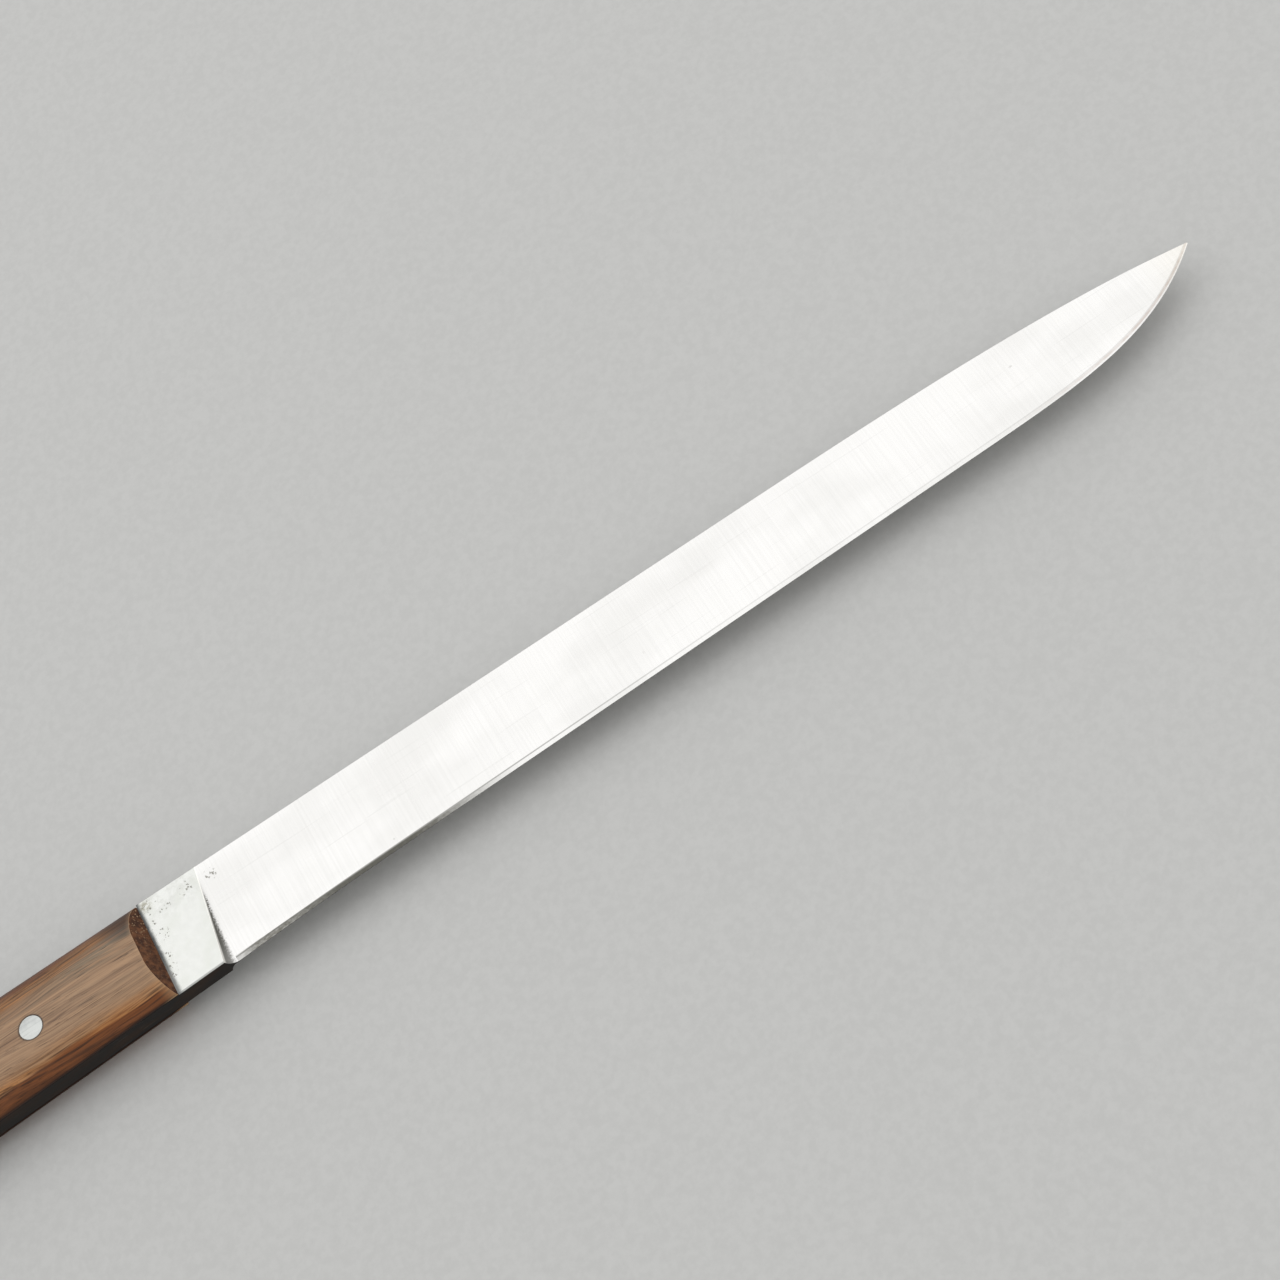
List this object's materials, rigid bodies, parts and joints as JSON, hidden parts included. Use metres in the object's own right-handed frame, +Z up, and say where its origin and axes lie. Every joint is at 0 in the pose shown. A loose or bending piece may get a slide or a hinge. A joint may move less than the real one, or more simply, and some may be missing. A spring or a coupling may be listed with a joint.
{
  "type": "carving knife",
  "caption": "Long slicing blade with a straight edge, a coved plunge and a plain ricasso, on a full tang between two pinned, crowned wooden scales.",
  "frame": {"origin": "middle of the knife's footprint, on the flat of the left scale, which is what the knife lies on", "axes": "+X along the blade to the tip, +Y to the spine, +Z up through the thickness, out of the right side"},
  "size_m": [0.3678, 0.0272, 0.0136],
  "materials": {
    "blade_steel": "satin, worn, with a few rust pits by the handle",
    "scale_wood": "oiled, worn dull",
    "pin_metal": "ground flush with the wood"
  },
  "bodies": {
    "root": {"blade": "blade_steel", "right_scale": "scale_wood", "left_scale": "scale_wood", "front_pin": "pin_metal", "middle_pin": "pin_metal", "rear_pin": "pin_metal"}
  },
  "joints": []
}
